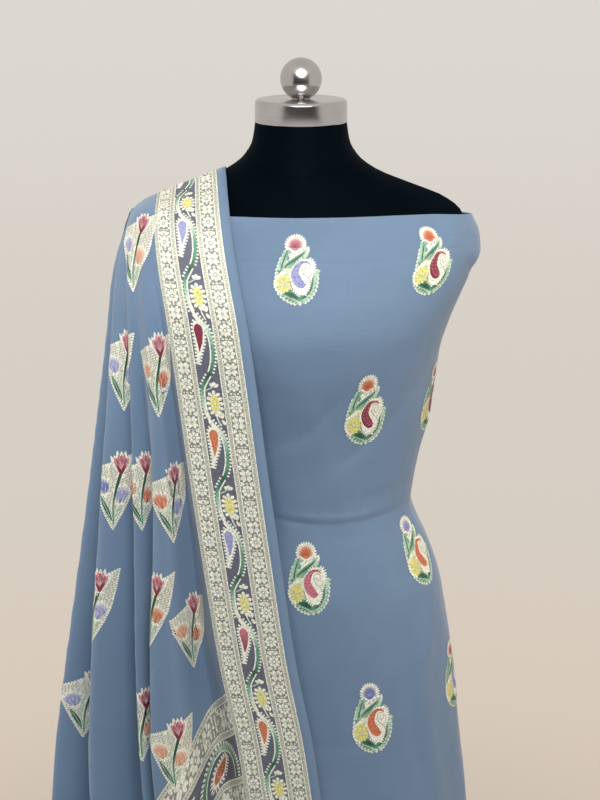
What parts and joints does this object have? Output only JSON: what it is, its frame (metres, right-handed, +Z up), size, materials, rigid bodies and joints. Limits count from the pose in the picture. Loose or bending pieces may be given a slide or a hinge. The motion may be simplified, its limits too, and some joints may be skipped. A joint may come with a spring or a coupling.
{
  "type": "salwar kameez suit on a dress form",
  "caption": "Woven salwar kameez suit shown as a wrapped kameez length, a salwar and a shoulder dupatta, on a limbless black dress form with a round metal stand.",
  "frame": {"origin": "centre of the underside of the round base, on the pole's axis", "axes": "+Z up, the form faces -Y, +X to the viewer's right"},
  "size_m": [0.624, 0.38, 1.5974],
  "materials": {
    "cloth": "fine crepe silk in blue-grey with a soft sheen and woven motifs",
    "salwar_cloth": "plain crepe in the same blue-grey",
    "form_cover": "matt black",
    "polished_steel": "polished"
  },
  "bodies": {
    "root": {"dupatta": "cloth", "kameez": "cloth", "salwar_seat": "salwar_cloth", "salwar_waistband": "salwar_cloth", "salwar_leg_left": "salwar_cloth", "salwar_leg_right": "salwar_cloth", "salwar_cuff_left": "salwar_cloth", "salwar_cuff_right": "salwar_cloth", "form_torso": "form_cover", "neck_cap": "polished_steel", "finial_ball": "polished_steel", "stand_pole": "polished_steel", "stand_collar": "polished_steel", "stand_base": "polished_steel"}
  },
  "joints": []
}
